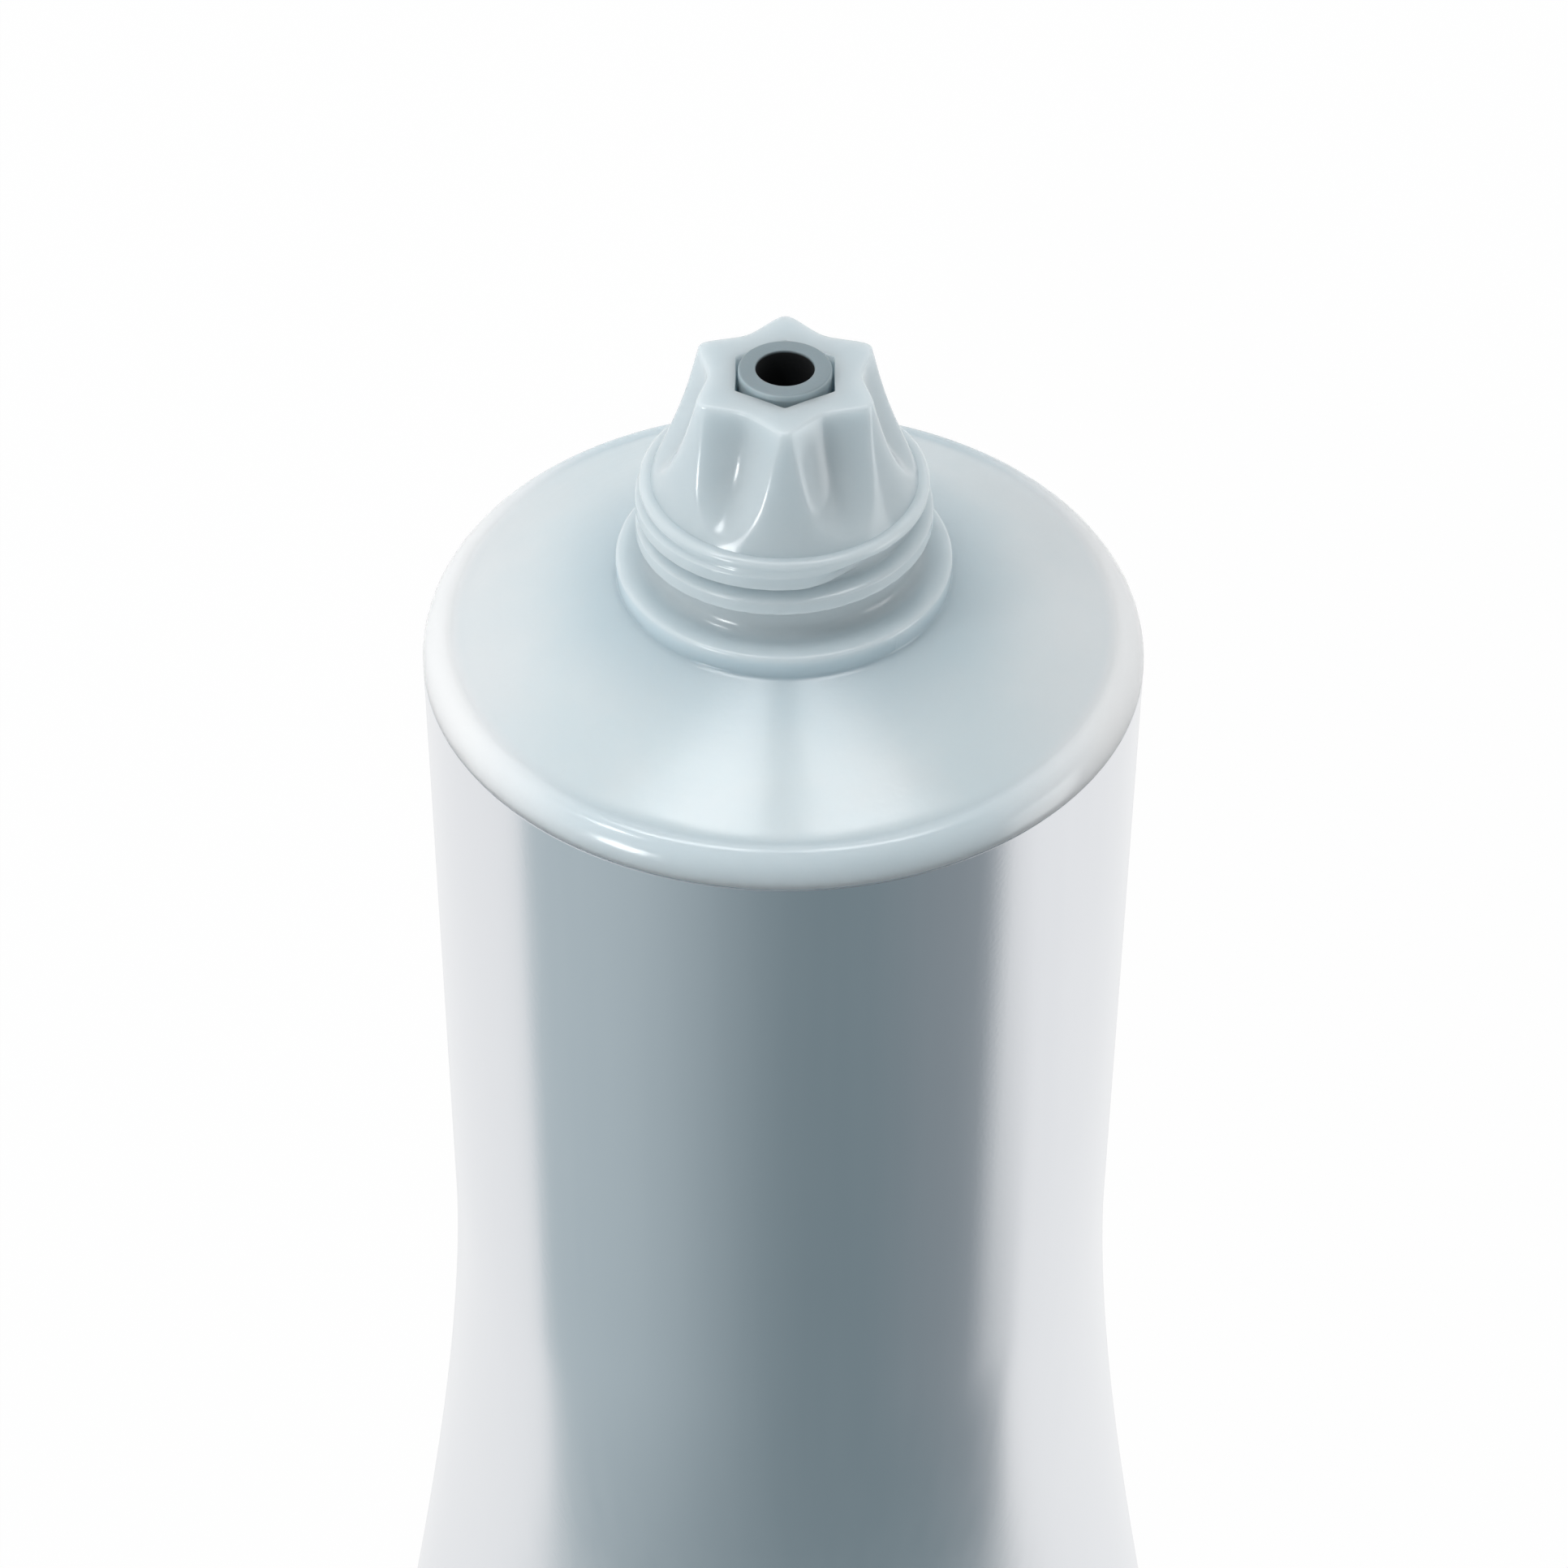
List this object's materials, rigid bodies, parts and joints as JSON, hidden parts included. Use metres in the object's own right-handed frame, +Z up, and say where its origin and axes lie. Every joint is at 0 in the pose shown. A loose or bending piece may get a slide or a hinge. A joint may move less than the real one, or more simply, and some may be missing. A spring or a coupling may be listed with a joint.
{
  "type": "dual-chamber dispenser tube",
  "caption": "Squeeze tube lying on its side: round silvery sleeve pressed flat at the tail, milky threaded head with a star-fluted nozzle around a grey inner nozzle.",
  "frame": {"origin": "centre of the base of the object's box, on the surface that the tube lies on", "axes": "+Z up, +Y along the tube from the nozzle to the tail, +X across the tube"},
  "size_m": [0.0586, 0.158, 0.038],
  "materials": {
    "silver_laminate": "satin pearl silver laminate, soft and squeezable",
    "milky_plastic": "translucent natural moulded plastic, smooth, faint bluish white",
    "grey_plastic": "opaque satin grey moulded plastic",
    "pale_plastic": "plain soft off-white plastic film"
  },
  "bodies": {
    "root": {"outer_sleeve": "silver_laminate", "outer_head": "milky_plastic", "inner_head": "grey_plastic", "inner_sleeve": "pale_plastic"}
  },
  "joints": []
}
